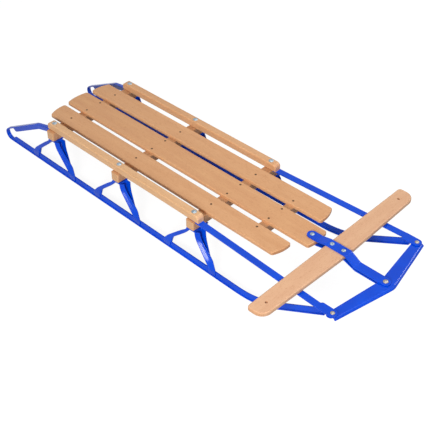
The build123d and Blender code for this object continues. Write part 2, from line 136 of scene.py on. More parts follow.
# Beech, planed and clear lacquered: pale pinkish tan, fine short flecks, a soft satin
# shine, and end grain that has drunk more lacquer and turned a shade browner.
beech = {
    "bandWidth": 16,          # slow change of tone across a board
    "bandLength": 260,
    "grainWidth": 1.6,        # grain lines, real ones are about 0.8, drawn wider to show
    "grainLength": 70,
    "fleckWidth": 1.1,        # ray flecks, real ones are about 0.5 wide and 3 long
    "fleckLength": 7,
    "fleckTint": "#C79A72",
    "fleckStrength": 0.35,
    "blotchWidth": 22,        # where the lacquer has sunk in more or less
    "blotchLength": 45,
    "toneShares": {"bands": 0.45, "grain": 0.25, "blotches": 0.3},
    "ringSpacing": 3.2,       # growth rings and pores, seen at the board's ends
    "poreSize": 2.4,
    "roughness": (0.41, 0.53),
    "specular": 0.35,
    "coat": 0.06,
    "coatRoughness": 0.3,
    "bumpStrength": 0.35,
    "bumpDepth": 0.05,
}


def beechMaterial(name, light, dark, endLight, endDark, alongX, shift):
    # shift moves the pattern, so that no two boards look the same
    material, tree = newMaterial(name)
    place = addNode(tree, "TexCoord")
    where = place.outputs["Object"]

    def stretched(length, width):
        sizes = (length, width, width) if alongX else (width, length, width)
        return addNode(tree, "Mapping", {
            "Location": [shift * 3.7, shift * 1.3, shift * 2.1],
            "Scale": [1 / (size * mm) for size in sizes],
        }, {"Vector": where})

    bands = addNode(tree, "TexNoise", {"Scale": 1, "Detail": 2, "Roughness": 0.5},
                    {"Vector": stretched(beech["bandLength"], beech["bandWidth"])})
    grain = addNode(tree, "TexNoise", {"Scale": 1, "Detail": 3, "Roughness": 0.6,
                                       "Distortion": 0.3},
                    {"Vector": stretched(beech["grainLength"], beech["grainWidth"])})
    flecks = addNode(tree, "TexNoise", {"Scale": 1, "Detail": 1, "Roughness": 0.4},
                     {"Vector": stretched(beech["fleckLength"], beech["fleckWidth"])})
    fleckMask = addNode(tree, "ValToRGB", {}, {"Fac": flecks}, [(0.58, 0.0), (0.72, 1.0)])
    blotches = addNode(tree, "TexNoise", {"Scale": 1, "Detail": 2, "Roughness": 0.55},
                       {"Vector": stretched(beech["blotchLength"], beech["blotchWidth"])})
    shares = beech["toneShares"]
    banded = addNode(tree, "Math", {"operation": "MULTIPLY", 1: shares["bands"]}, {0: bands})
    grained = addNode(tree, "Math", {"operation": "MULTIPLY_ADD", 1: shares["grain"]},
                      {0: grain, 2: banded})
    tone = addNode(tree, "Math", {"operation": "MULTIPLY_ADD", 1: shares["blotches"]},
                   {0: blotches, 2: grained})
    face = addNode(tree, "ValToRGB", {}, {"Fac": tone}, [(0.34, dark), (0.66, light)])
    fleckTone = addNode(tree, "Math", {"operation": "MULTIPLY", 1: beech["fleckStrength"]},
                        {0: fleckMask})
    flecked = addNode(tree, "Mix", {"data_type": "RGBA", "blend_type": "MULTIPLY",
                                    7: linear(beech["fleckTint"])}, {0: fleckTone, 6: face})

    # end grain: rings where the face points along the board
    normal = addNode(tree, "SeparateXYZ", {}, {0: place.outputs["Normal"]})
    facing = addNode(tree, "Math", {"operation": "ABSOLUTE"},
                     {0: normal.outputs["X" if alongX else "Y"]})
    endMask = addNode(tree, "ValToRGB", {}, {"Fac": facing}, [(0.45, 0.0), (0.85, 1.0)])
    ringPlace = addNode(tree, "Mapping", {"Location": [shift, 0.11 * shift, -0.024],
                                          "Scale": [1 / (beech["ringSpacing"] * mm)] * 3},
                        {"Vector": where})
    # at a scale of 0.32 a wave has one ring to the unit
    rings = addNode(tree, "TexWave", {
        "wave_type": "RINGS", "rings_direction": "X" if alongX else "Y",
        "Scale": 0.32, "Distortion": 2.2, "Detail": 2, "Detail Scale": 0.6,
    }, {"Vector": ringPlace})
    pores = addNode(tree, "TexNoise", {"Scale": 1 / (beech["poreSize"] * mm), "Detail": 3,
                                       "Roughness": 0.7}, {"Vector": where})
    endTone = addNode(tree, "Math", {"operation": "MULTIPLY_ADD", 1: 0.55}, {0: rings, 2: pores})
    endColour = addNode(tree, "ValToRGB", {}, {"Fac": endTone}, [(0.45, endDark), (0.95, endLight)])
    colour = addNode(tree, "Mix", {"data_type": "RGBA"},
                     {0: endMask, 6: flecked.outputs[2], 7: endColour})

    height = addNode(tree, "Math", {"operation": "MULTIPLY_ADD", 1: -0.4}, {0: fleckMask, 2: grain})
    bump = addNode(tree, "Bump", {"Strength": beech["bumpStrength"],
                                  "Distance": beech["bumpDepth"] * mm}, {"Height": height})
    smoothest, dullest = beech["roughness"]
    gloss = addNode(tree, "MapRange", {"From Min": 0.3, "From Max": 0.7,
                                       "To Min": smoothest, "To Max": dullest}, {"Value": blotches})
    shader = addNode(tree, "BsdfPrincipled", {
        "IOR": 1.5, "Specular IOR Level": beech["specular"],
        "Coat Weight": beech["coat"], "Coat Roughness": beech["coatRoughness"],
    }, {"Base Color": colour.outputs[2], "Roughness": gloss, "Normal": bump})
    addNode(tree, "OutputMaterial", {}, {"Surface": shader})
    return material


# Steel under a thin finish: faint clouds in its colour and shine, and fine marks all over
finishes = {
    # blue gloss enamel, sprayed and baked: deep even blue with a wet shine and a faint
    # orange peel, a little darker where it gathers
    "enamel": {
        "cloudSize": 60,
        "markSize": 3.0,      # orange peel, real cells are 1 to 2, drawn wider to show
        "markDetail": 1, "markDepth": 0.003, "markStrength": 0.15,
    },
    # cold-headed, tumbled and then plated or blued: a soft shine, patchy at close range
    "fixing": {
        "cloudSize": 5,
        "markSize": 1.2,      # tumbling marks, real ones are a few tenths, drawn coarser to show
        "markDetail": 2, "markDepth": 0.02, "markStrength": 0.4,
    },
}


def steelMaterial(name, finish, light, dark, roughness, settings):
    material, tree = newMaterial(name)
    where = addNode(tree, "TexCoord").outputs["Object"]
    clouds = addNode(tree, "TexNoise", {"Scale": 1 / (finish["cloudSize"] * mm), "Detail": 3},
                     {"Vector": where})
    colour = addNode(tree, "ValToRGB", {}, {"Fac": clouds}, [(0.35, dark), (0.65, light)])
    marks = addNode(tree, "TexNoise", {"Scale": 1 / (finish["markSize"] * mm),
                                       "Detail": finish["markDetail"]}, {"Vector": where})
    bump = addNode(tree, "Bump", {"Strength": finish["markStrength"],
                                  "Distance": finish["markDepth"] * mm}, {"Height": marks})
    smoothest, dullest = roughness
    gloss = addNode(tree, "MapRange", {"From Min": 0.3, "From Max": 0.7,
                                       "To Min": smoothest, "To Max": dullest}, {"Value": clouds})
    shader = addNode(tree, "BsdfPrincipled", settings,
                     {"Base Color": colour, "Roughness": gloss, "Normal": bump})
    addNode(tree, "OutputMaterial", {}, {"Surface": shader})
    return material


boards = {
    # name, face light and dark, end grain light and dark, whether the grain runs along X, shift
    "slatCentre": ("lacqueredBeechCentreSlat", "#D8A576", "#CC9468", "#CB9468", "#B87A4E", True, 1),
    "slatLeft": ("lacqueredBeechLeftSlat", "#DAA77A", "#CE986B", "#CB9468", "#B87A4E", True, 4),
    "slatRight": ("lacqueredBeechRightSlat", "#D9A679", "#CD976A", "#CB9468", "#B87A4E", True, 7),
    "bench": ("lacqueredBeechBench", "#D6A478", "#C79268", "#DDB184", "#C08A5C", False, 11),
    # the left, far rail is the same beech as the right one, but its colours are set darker and more
    # orange: painted shade
    "shadedRailLeft": ("lacqueredBeechLeftRailPaintedShade", "#DDAC80", "#D09A6C", "#E0AC84", "#CC9064", True, 15),
    "railRight": ("lacqueredBeechRightRail", "#E0B488", "#D6A678", "#E4B692", "#D09A70", True, 18),
    "bar": ("lacqueredBeechBar", "#DCAF8A", "#D3A27E", "#D2A27A", "#BE8860", False, 21),
}
materials = {board: beechMaterial(*look) for board, look in boards.items()}
paint, plate = {"IOR": 1.5, "Specular IOR Level": 0.2}, {"Metallic": 1}
steels = {
    # name, finish, light and dark, smoothest and dullest, the shader's own settings
    "enamel": ("glossEnamelledSteel", "enamel", "#034BD3", "#0243C6", (0.17, 0.25), paint),
    # zinc is cool and whitish, nickel warmer, and the blued nails are dark brown
    "zinc": ("tumbledZincPlate", "fixing", "#A6B3BC", "#84929B", (0.44, 0.56), plate),
    "nickel": ("tumbledNickelPlate", "fixing", "#AAA29A", "#8E867E", (0.39, 0.51), plate),
    "nail": ("bluedNailSteel", "fixing", "#6B5340", "#4A3626", (0.44, 0.56), plate),
}
for steel, (name, finish, *look) in steels.items():
    materials[steel] = steelMaterial(name, finishes[finish], *look)
print("materials made")


# Mesh tools

def facedOutwards(mesh):
    # turns the faces of a closed skin outwards
    work = bmesh.new()
    work.from_mesh(mesh)
    bmesh.ops.recalc_face_normals(work, faces=work.faces)
    work.to_mesh(mesh)
    work.free()


def newPiece(name, points, faces, closed=False):
    mesh = bpy.data.meshes.new(name)
    mesh.from_pydata([Vector(point) * mm for point in points], [], faces)
    mesh.validate()
    if closed:
        facedOutwards(mesh)
    piece = bpy.data.objects.new(name, mesh)
    scene.collection.objects.link(piece)
    return piece


def settle(piece, sharpAngle=40):
    # applies the modifiers, then shades smooth except over edges sharper than the angle
    bpy.context.view_layer.update()
    graph = bpy.context.evaluated_depsgraph_get()
    mesh = bpy.data.meshes.new_from_object(piece.evaluated_get(graph))
    piece.modifiers.clear()
    piece.data = mesh
    mesh.shade_smooth()
    mesh.set_sharp_from_angle(angle=math.radians(sharpAngle))
    return piece


def combined(piece, others, operation="UNION"):
    for other in others:
        join = piece.modifiers.new("combine", "BOOLEAN")
        join.operation = operation
        join.solver = "EXACT"
        join.object = other
        settle(piece)
        bpy.data.objects.remove(other)
    return piece


def sheet(name, side, rows, thickness, edge, flipped=False):
    # pressed sheet metal: rows of points, with None where there is no metal, made thick
    # away from the side they face, and its edges rounded by the width given
    numbers, points, faces = {}, [], []
    for i, row in enumerate(rows):
        for j, point in enumerate(row):
            if point is not None:
                numbers[i, j] = len(points)
                points.append((point[0], side * point[1], point[2]))
    used = set()
    for i in range(len(rows) - 1):
        for j in range(len(rows[i]) - 1):
            corners = [(i, j), (i, j + 1), (i + 1, j + 1), (i + 1, j)]
            if all(corner in numbers for corner in corners):
                face = [numbers[corner] for corner in corners]
                used.update(face)
                faces.append(face[::-1] if flipped != (side < 0) else face)
    order = {number: k for k, number in enumerate(sorted(used))}
    piece = newPiece(name, [points[number] for number in sorted(used)],
                     [[order[number] for number in face] for face in faces])
    thick = piece.modifiers.new("thickness", "SOLIDIFY")
    thick.thickness = thickness * mm
    thick.offset = -1
    thick.use_even_offset = True
    thick.use_quality_normals = True
    bevel = piece.modifiers.new("edges", "BEVEL")
    bevel.width = edge * mm
    bevel.segments = 3
    bevel.limit_method = "ANGLE"
    bevel.angle_limit = math.radians(35)
    bevel.use_clamp_overlap = True
    bevel.miter_outer = "MITER_ARC"
    weighted = piece.modifiers.new("weighted", "WEIGHTED_NORMAL")
    weighted.keep_sharp = True
    return settle(piece)


def lofted(name, rings):
    # a closed skin through rings with the same number of points
    size = len(rings[0])
    faces = []
    for i in range(len(rings) - 1):
        for j in range(size):
            k = (j + 1) % size
            faces.append([i * size + j, i * size + k, (i + 1) * size + k, (i + 1) * size + j])
    faces.append(list(range(size))[::-1])
    faces.append([(len(rings) - 1) * size + j for j in range(size)])
    return newPiece(name, [point for ring in rings for point in ring], faces, closed=True)


def turned(name, profile, x, y, segments=40):
    # a piece turned on a lathe: (radius, height) from the lowest point to the highest
    turns = [2 * math.pi * k / segments for k in range(segments)]
    return lofted(name, [[(x + radius * math.cos(turn), y + radius * math.sin(turn), z)
                          for turn in turns] for radius, z in profile])


def dressed(piece, body, material, replaced=()):
    # its finish, its body and the CAD nodes that it stands for; a piece that bends between
    # two bodies has None here
    piece.data.materials.clear()
    piece.data.materials.append(materials[material])
    if body:
        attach(piece, body)
    if replaced:
        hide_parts(*replaced)


def rounded(corners, radii, arcStep=6):
    # a line through the corners, each inner one rounded to its radius
    line = [Vector(corners[0])]
    for corner, before, after, radius in zip(corners[1:-1], corners, corners[2:], radii):
        corner = Vector(corner)
        back = (Vector(before) - corner).normalized()
        ahead = (Vector(after) - corner).normalized()
        turn = math.pi - back.angle(ahead)
        reach = radius * math.tan(turn / 2)
        centre = corner + (back + ahead).normalized() * (radius / math.cos(turn / 2))
        start, end = corner + back * reach - centre, corner + ahead * reach - centre
        count = max(2, math.ceil(math.degrees(turn) / arcStep))
        for k in range(count + 1):
            part = k / count
            line.append(centre + (math.sin((1 - part) * turn) * start + math.sin(part * turn) * end)
                        / math.sin(turn))
    return line + [Vector(corners[-1])]


def divided(line, step):
    # the same line with no run longer than step
    points = [line[0]]
    for start, end in zip(line, line[1:]):
        count = max(1, math.ceil((end - start).length / step))
        points += [start.lerp(end, k / count) for k in range(1, count + 1)]
    return points


def ramped(table, at):
    # straight-line values between the rows of a table
    for low, high in zip(table, table[1:]):
        if at <= high[0]:
            share = (at - low[0]) / (high[0] - low[0])
            return [a + (b - a) * share for a, b in zip(low[1:], high[1:])]
    return list(table[-1][1:])


# Runners: a rolled T section in spring steel, tread and web, along the snow, round the
# rear loop and up to the rear bench, and up to the flat bar at the nose
runner = {
    "treadWidth": 12, "treadThickness": 3, "treadEdge": 0.8,
    "webThickness": 3.5, "height": 16.5, "webEdge": 1.0, "rootFillet": 1.5, "webSunk": 0.8,
    "rearX": -607, "rearY": 150.5, "hingeY": 162, "turnInLength": 80,
    "loopRadius": 18.5, "loopSteps": 18, "returnSlope": 28.6, "benchLap": 13,
    "kinkBehindBench": 73, "kinkRadius": 45, "benchBendRadius": 30,
    # the web's rounded ends, and how far they stay from the loop and the bench
    "webStartHeight": 5, "webStartLength": 9,
    "webCutBack": 12.5, "webAboveLoop": 6, "webBehindBench": 13.3,
    "noseBendRadius": 273, "noseSlope": 28.75, "webAtEyelet": 21,
    "eyeletSetback": 31, "eyeletLift": 1.5, "frontSetback": 18,
    "clearance": 0.05,        # kept from the rail and the side bar
    "step": 4,
    "flexReach": 125,         # the spring steel bends sideways this far each side of the hinge
}

slope = math.radians(runner["returnSlope"])
rearTurn = math.atan2(runner["hingeY"] - runner["rearY"], hinge.x - runner["rearX"])
returnTurn = math.atan2(railLineY(benches["rear"]) - runner["rearY"],
                        benches["rear"] - runner["rearX"])
eyeletX = cornerRivet.x - runner["eyeletSetback"]
frontTurn = math.atan2(cornerRivet.y - runner["hingeY"], eyeletX - hinge.x)
loopX = runner["rearX"] + runner["loopRadius"]
runnerFrontX = cornerRivet.x - runner["frontSetback"]


def lowerY(x):
    # the lower run's middle line in plan, eased through the place where it turns in
    rear = runner["rearY"] + (x - runner["rearX"]) * math.tan(rearTurn)
    front = runner["hingeY"] + (x - hinge.x) * math.tan(frontTurn)
    share = min(1, max(0, (x - hinge.x) / runner["turnInLength"] + 0.5))
    return rear + (front - rear) * share


def runnerLine():
    # outer face of the tread: (place, heading in plan) from the rear bench round to the nose
    radius = runner["loopRadius"]
    topX, topZ = loopX - radius * math.sin(slope), radius + radius * math.cos(slope)
    kinkX = benches["rear"] - runner["kinkBehindBench"]
    kinkZ = topZ + (kinkX - topX) * math.tan(slope)
    back = rounded([(benches["rear"] + runner["benchLap"], 0, benchTop),
                    (benches["rear"] - runner["webBehindBench"], 0, benchTop),
                    (kinkX, 0, kinkZ), (topX, 0, topZ)],
                   [runner["benchBendRadius"], runner["kinkRadius"]])
    line = []
    for point in divided(back, runner["step"]):
        y = runner["rearY"] + (point.x - runner["rearX"]) * math.tan(returnTurn)
        line.append((Vector((point.x, y, point.z)), returnTurn))
    for k in range(1, runner["loopSteps"]):
        part = k / runner["loopSteps"]
        turn = (math.pi - slope) * (1 - part)
        x, z = loopX - radius * math.sin(turn), radius - radius * math.cos(turn)
        heading = returnTurn + (rearTurn - returnTurn) * part
        y = runner["rearY"] + (x - runner["rearX"]) * math.tan(heading)
        line.append((Vector((x, y, z)), heading))
    rise = math.tan(math.radians(runner["noseSlope"]))
    eyeletZ = sideBarBottom - runner["webAtEyelet"]
    meetX = eyeletX - eyeletZ / rise
    front = rounded([(loopX, 0, 0), (meetX, 0, 0),
                     (runnerFrontX, 0, (runnerFrontX - meetX) * rise)],
                    [runner["noseBendRadius"]], arcStep=1)
    for point in divided(front, runner["step"]):
        turn = rearTurn if point.x < hinge.x else frontTurn
        line.append((Vector((point.x, lowerY(point.x), point.z)), turn))
    return line


def sectionFrames(line):
    # at each place: the point, the direction across and the direction from tread to web
    frames = []
    for k, (point, turn) in enumerate(line):
        before, after = line[max(k - 1, 0)][0], line[min(k + 1, len(line) - 1)][0]
        across = Vector((-math.sin(turn), math.cos(turn), 0))
        into = (after - before).cross(across).normalized()
        frames.append((point, across, into))
    return frames


def treadSection():
    # (across, up) points, each corner rounded in three steps
    points = []
    radius, high = runner["treadEdge"], runner["treadThickness"]
    reach = runner["treadWidth"] / 2 - radius
    for x, z, start in ((reach, radius, -90), (reach, high - radius, 0),
                        (-reach, high - radius, 90), (-reach, radius, 180)):
        for k in range(4):
            turn = math.radians(start + 90 * k / 3)
            points.append((x + radius * math.cos(turn), z + radius * math.sin(turn)))
    return points


def webSection(height):
    # from inside the tread up its fillet to the web's rounded top, and down the other side
    half, root, edge = runner["webThickness"] / 2, runner["rootFillet"], runner["webEdge"]
    base = runner["treadThickness"]
    outline = [(half + root, base - runner["webSunk"]), (half + root, base),
               (half + 0.35 * root, base + 0.3 * root), (half, base + root),
               (half, height - edge), (half - 0.3 * edge, height - 0.3 * edge),
               (half - edge, height)]
    return outline + [(-x, z) for x, z in reversed(outline)]


def sweptAlong(name, side, frames, sectionAt):
    rings = []
    for k, (point, across, into) in enumerate(frames):
        ring = []
        for a, b in sectionAt(k):
            spot = point + across * a + into * b
            if point.x > hinge.x:
                spot.z = min(spot.z, sideBarBottom - runner["clearance"])
            ring.append((spot.x, side * spot.y, spot.z))
        rings.append(ring if side < 0 else ring[::-1])
    return lofted(name, rings)


def webHeight(distance):
    # at a distance from the web's rounded end
    least, share = runner["webStartHeight"], min(1, max(0, distance / runner["webStartLength"]))
    return least + (runner["height"] - least) * math.sqrt(1 - (1 - share) ** 2)


def makeRunner(name, side):
    frames = sectionFrames(runnerLine())
    # the lap on the bench stays just under the rail
    gap = Vector((0, 0, runner["clearance"]))
    treadFrames = [(point - gap if into.z < -0.9 else point, across, into)
                   for point, across, into in frames]
    tread = treadSection()
    piece = sweptAlong(f"runner_{name}", side, treadFrames, lambda k: tread)
    startX = loopX + runner["webCutBack"]
    lower = [f for f in frames if f[2].z > 0 and f[0].x > startX]
    lowerWeb = sweptAlong("web", side, lower,
                          lambda k: webSection(webHeight(lower[k][0].x - startX)))
    upper = [f for f in frames if f[2].z < 0 and f[0].x < benches["rear"] - runner["webBehindBench"]
             and f[0].z > runner["loopRadius"] * 2 + runner["webAboveLoop"]]
    upperStart = upper[-1][0]
    upperWeb = sweptAlong("web", side, upper,
                          lambda k: webSection(webHeight((upper[k][0] - upperStart).length)))
    return combined(piece, [lowerWeb, upperWeb])


def bendsWith(piece):
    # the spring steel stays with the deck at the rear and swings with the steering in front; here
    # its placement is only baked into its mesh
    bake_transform(piece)


eyelet = {"innerRadius": 3.4, "holeRadius": 4.0, "outerRadius": 5.6, "edge": 0.5, "proud": 0.7,
          "sunk": 0.2, "segments": 32}


def makeEyelet(name, middle):
    # a pressed eyelet that lines the hole through the web
    inner, hole, outer = (eyelet[f"{part}Radius"] for part in ("inner", "hole", "outer"))
    half, edge = runner["webThickness"] / 2, eyelet["edge"]
    face, back = half + eyelet["proud"], half - eyelet["sunk"]
    profile = [(inner, 0), (inner, half), (inner + edge, face), (outer - edge, face),
               (outer, half + 0.1), (outer, back), (hole, back)]
    profile += [(radius, -depth) for radius, depth in reversed(profile[1:])]
    count = eyelet["segments"]
    points, faces = [], []
    for radius, depth in profile:
        for k in range(count):
            turn = 2 * math.pi * k / count
            points.append(middle + Vector((radius * math.cos(turn), depth,
                                           radius * math.sin(turn))))
    for i in range(len(profile)):
        n = (i + 1) % len(profile)
        for k in range(count):
            m = (k + 1) % count
            faces.append([i * count + k, i * count + m, n * count + m, n * count + k])
    return settle(newPiece(f"nose_eyelet_{name}", points, faces, closed=True))


for sideName, side in sides.items():
    piece = makeRunner(sideName, side)
    eyeletMiddle = Vector((eyeletX, side * lowerY(eyeletX),
                           sideBarBottom - runner["webAtEyelet"] / 2 + runner["eyeletLift"]))
    bpy.ops.mesh.primitive_cylinder_add(
        vertices=eyelet["segments"], radius=eyelet["holeRadius"] * mm, depth=20 * mm,
        location=eyeletMiddle * mm, rotation=(math.pi / 2, 0, 0))
    combined(piece, [bpy.context.object], "DIFFERENCE")
    dressed(piece, None, "enamel",
            [f"runner_rear_{sideName}", f"runner_front_{sideName}"])
    bendsWith(piece)
    dressed(makeEyelet(sideName, eyeletMiddle), f"front_{sideName}", "enamel")
print("runners made")


# Side bars: flat spring steel from under the rail to the corner rivet, ending in a tab
sideBar = {
    "width": 17.5, "thickness": 3, "rearInset": 13, "edge": 0.6,
    "tabRadius": 11.5, "tabLength": 33, "tipHalfWidth": 0.9, "shoulder": 6, "toeOut": 2,
    "step": 7, "columns": 6,
}


def makeSideBar(name, side):
    start = benches["front"] - sideBar["rearInset"]
    tabX, tabY = cornerRivet.x - sideBar["tabLength"], cornerRivet.y
    shoulderX = tabX - sideBar["shoulder"]
    line = divided([Vector((start, railLineY(start), 0)),
                    Vector((shoulderX, tabY + sideBar["toeOut"], 0))], sideBar["step"])
    # stations along the bar: x, y and half the width there
    half, tab = sideBar["width"] / 2, sideBar["tabRadius"]
    stations = [(point.x, point.y, half) for point in line]
    for k in range(1, 6):
        share = k / 5
        ease = share * share * (3 - 2 * share)
        stations.append((shoulderX + sideBar["shoulder"] * share,
                         tabY + sideBar["toeOut"] * (1 - ease), half + (tab - half) * ease))
    stations += [(tabX + sideBar["tabLength"] * k / 4, tabY, tab) for k in range(1, 5)]
    stations += [(cornerRivet.x + tab * math.sin(turn), tabY, tab * math.cos(turn))
                 for turn in (math.radians(9 * k) for k in range(1, 10))]
    stations.append((cornerRivet.x + tab, tabY, sideBar["tipHalfWidth"]))
    rows = []
    for x, y, width in stations:
        rows.append([(x, y + width * (2 * j / sideBar["columns"] - 1), benchTop)
                     for j in range(sideBar["columns"] + 1)])
    return sheet(f"side_bar_{name}", side, rows, sideBar["thickness"], sideBar["edge"],
                 flipped=True)


for sideName, side in sides.items():
    piece = makeSideBar(sideName, side)
    dressed(piece, None, "enamel",
            [f"side_bar_rear_{sideName}", f"side_bar_front_{sideName}"])
    bendsWith(piece)
print("side bars made")


# Knees: pressed from sheet, a plate under the bench and two flanged legs down to the
# runner's web. Each leg is rows of points from the bench down, every row running from the
# outer flange's free edge round the leg's face to the inner flange's.
knee = {
    "sheet": 2.2, "edge": 0.4, "cornerRadius": 3.5, "cornerSteps": 4, "flangeColumns": 8,
    "outerY": 155, "rearInset": 5, "plateRows": (106, 117, 128, 138, 147, 154.8),
    "frontStep": 82, "rearStep": 72, "frontWidth": 26, "rearWidth": 18,
    "footWidth": 26, "footDepth": 7.5, "footTop": 17.5, "footBottom": 4, "footGap": 0.3,
    # how far below the bench a leg's rows lie, and the length over which its bends are eased
    "legRows": [0.1, 3, 6, 9, 11, 13, 15, 17, 19, 22, 26, 32, 40, 48, 54, 58, 61, 64, 67, 70, 72.5],
    "easing": 4,
    # below the bench, ahead of its middle, outer and inner depth, how far the outer flange
    # leans in at its free edge
    "frontLine": [(0, 13.5, 13.5, 16, 7), (12, 16.5, 14.5, 18, 7.6), (22, 22.5, 16, 18, 8.7),
                  (58, 54.4, 20.5, 14, 10.5)],
    "rearLine": [(0, 6.5, 6.5, 5, 0), (11, 7, 9, 6, 0), (24, 17.5, 16, 9, 1), (58.5, 57, 16, 9, 0)],
    # share of the flange's depth where its lean eases off, and the share of the lean by then
    "bendAt": 0.6, "leanAtBend": 0.7,
}


def flangeLean(out):
    # out goes from the corner, 0, to the flange's free edge, 1
    bend, leant = knee["bendAt"], knee["leanAtBend"]
    return leant * min(out, bend) / bend + (1 - leant) * max(0, out - bend) / (1 - bend)


def legSheet(side, benchX, direction, footStep, line, outerY, width):
    drop = benchBottom - knee["footTop"]
    footY = (lowerY(benchX + direction * footStep) + runner["webThickness"] / 2 + knee["footGap"]
             + knee["sheet"])
    table = line + [(drop, footStep - knee["footWidth"] / 2, knee["footWidth"],
                     knee["footDepth"] / 2, 0)]
    turns = [math.pi / 2 * k / knee["cornerSteps"] for k in range(knee["cornerSteps"] + 1)]
    rows = []
    for at in knee["legRows"] + [drop]:
        samples = [ramped(table, min(drop, max(0, at + shift))) for shift in
                   (-knee["easing"], 0, 0, knee["easing"])]
        reach, outerDepth, innerDepth, slant = (sum(values) / 4 for values in zip(*samples))
        down = at / drop
        y = outerY + (footY - outerY) * down
        across = width + (knee["footDepth"] - width) * down
        corner = min(knee["cornerRadius"], across * 0.42, innerDepth * 0.8)
        row = []
        for j in range(knee["flangeColumns"] + 1):
            out = 1 - j / knee["flangeColumns"]
            row.append((corner + (outerDepth - corner) * out, y - slant * flangeLean(out)))
        for turn in turns[1:]:
            row.append((corner - corner * math.sin(turn), y - corner + corner * math.cos(turn)))
        row.append((0, y - across / 2))
        for turn in turns:
            row.append((corner - corner * math.cos(turn),
                        y - across + corner - corner * math.sin(turn)))
        row += [((corner + innerDepth) / 2, y - across), (innerDepth, y - across)]
        rows.append([(benchX + direction * (reach + forward), offset, benchBottom - at)
                     for forward, offset in row])
    # the foot laps the runner's web and is rounded at its lower end
    last = rows[-1]
    count = knee["flangeColumns"] + 1
    middle = (last[0][0] + last[count - 1][0]) / 2
    half = abs(last[0][0] - last[count - 1][0]) / 2
    for part, inset in ((0.25, 0), (0.5, 0), (0.75, 1.0), (0.93, 1.0), (1.0, 2.6)):
        z = knee["footTop"] + (knee["footBottom"] - knee["footTop"]) * part
        row = [(middle + (point[0] - middle) * (1 - inset / half), footY, z)
               for point in last[:count]]
        rows.append(row + [None] * (len(last) - count))
    return sheet("leg", side, rows, knee["sheet"], knee["edge"], flipped=direction > 0)


def makeKnee(benchName, sideName, side):
    x = benches[benchName]
    rear = x - knee["rearLine"][0][1] - knee["sheet"] / 2
    front = x + knee["frontLine"][0][1] + knee["sheet"]
    plateRows = [[(px, y, benchBottom) for px in (rear, x, front)] for y in knee["plateRows"]]
    piece = sheet(f"knee_pressing_{benchName}_{sideName}", side, plateRows, knee["sheet"],
                  knee["edge"])
    frontLeg = legSheet(side, x, 1, knee["frontStep"], knee["frontLine"], knee["outerY"],
                        knee["frontWidth"])
    rearLeg = legSheet(side, x, -1, knee["rearStep"], knee["rearLine"],
                       knee["outerY"] - knee["rearInset"], knee["rearWidth"])
    return combined(piece, [frontLeg, rearLeg])


for benchName in kneeBenches:
    for sideName, side in sides.items():
        dressed(makeKnee(benchName, sideName, side), "root", "enamel",
                [f"knee_{benchName}_{sideName}"])
print("knees made")


# Bumper: a chevron of sheet with its front edge turned down into a lip
bumper = {
    "thickness": 3, "edge": 0.6, "halfLength": 170, "endCorner": 8, "columns": 5,
    "rearAtMiddle": 12, "rearAtCorner": 10, "rearApexRadius": 12,
    "frontAtMiddle": 17, "frontAtCorner": 8.5, "frontApexRadius": 30,
    "lipInset": 6, "lipRadius": 9.5, "lipAngle": 60, "lipSteps": 7,
    # rows across one arm: close together round the middle, then spaced, then round the end
    "middleRows": [0, 1.5, 3, 4.5, 6, 8, 11, 15, 20], "rowSpacing": 8, "spacedRows": 17,
    "innerCornerTurns": (90, 78, 66, 54, 42), "outerCornerTurns": (20, 32, 45, 58, 70, 81),
}


def chevron(y, apexX, slopeX, radius):
    # an arm's edge at y, rounded at the middle, and the way it faces
    lean = math.atan(abs(slopeX))
    if abs(y) >= radius * math.sin(lean):
        return apexX + slopeX * abs(y), math.copysign(math.sin(lean), y) if y else 0
    return apexX - radius / math.cos(lean) + math.sqrt(radius ** 2 - y ** 2), y / radius


def makeBumper():
    reach = cornerRivet.y
    rearApex = bumperRivet.x - bumper["rearAtMiddle"]
    frontApex = bumperRivet.x + bumper["frontAtMiddle"]
    rearSlope = (cornerRivet.x - bumper["rearAtCorner"] - rearApex) / reach
    frontSlope = (cornerRivet.x + bumper["frontAtCorner"] - frontApex) / reach
    end, corner = bumper["halfLength"], bumper["endCorner"]
    lipEnd = end - bumper["lipInset"]
    arm = bumper["middleRows"]
    arm = arm + [arm[-1] + bumper["rowSpacing"] * (k + 1) for k in range(bumper["spacedRows"])]
    arm += [end - corner * math.cos(math.radians(turn)) for turn in bumper["innerCornerTurns"]]
    arm += [end - corner + corner * math.sin(math.radians(turn))
            for turn in bumper["outerCornerTurns"]]
    ys = sorted(set(round(y, 3) for y in arm + [lipEnd, end]))
    ys = [-y for y in reversed(ys[1:])] + ys
    rows = []
    for y in ys:
        rear = chevron(y, rearApex, rearSlope, bumper["rearApexRadius"])[0]
        front, sideways = chevron(y, frontApex, frontSlope, bumper["frontApexRadius"])
        ahead = math.sqrt(1 - sideways ** 2)
        past = max(0, abs(y) - (end - corner))
        shrink = corner - math.sqrt(max(0, corner ** 2 - past ** 2))
        rear, front = rear + shrink, front - shrink
        row = [(rear + (front - rear) * j / bumper["columns"], y, bumperTop)
               for j in range(bumper["columns"] + 1)]
        for k in range(1, bumper["lipSteps"] + 1):
            turn = math.radians(bumper["lipAngle"]) * k / bumper["lipSteps"]
            out = bumper["lipRadius"] * math.sin(turn)
            row.append(None if abs(y) > lipEnd + 0.01 else
                       (front + out * ahead, y + out * sideways,
                        bumperTop - bumper["lipRadius"] * (1 - math.cos(turn))))
        rows.append(row)
    return sheet("bumper_pressing", 1, rows, bumper["thickness"], bumper["edge"])


dressed(makeBumper(), "bumper", "enamel", ["bumper"])
print("bumper made")


# Straps: two bent flats with round ends that hold the wooden bar and reach the bumper
strap = {
    "width": 25, "thickness": 3, "edge": 0.6, "bendRadius": 9, "gap": 0.3, "step": 7, "columns": 6,
    "flatPastPivot": 22, "flatPastBar": 1, "upperSlopeEnd": 30, "lowerSlopeEnd": 32,
    "endTurns": (16, 28, 40, 52, 64, 75, 86), "endMargin": 3,
}


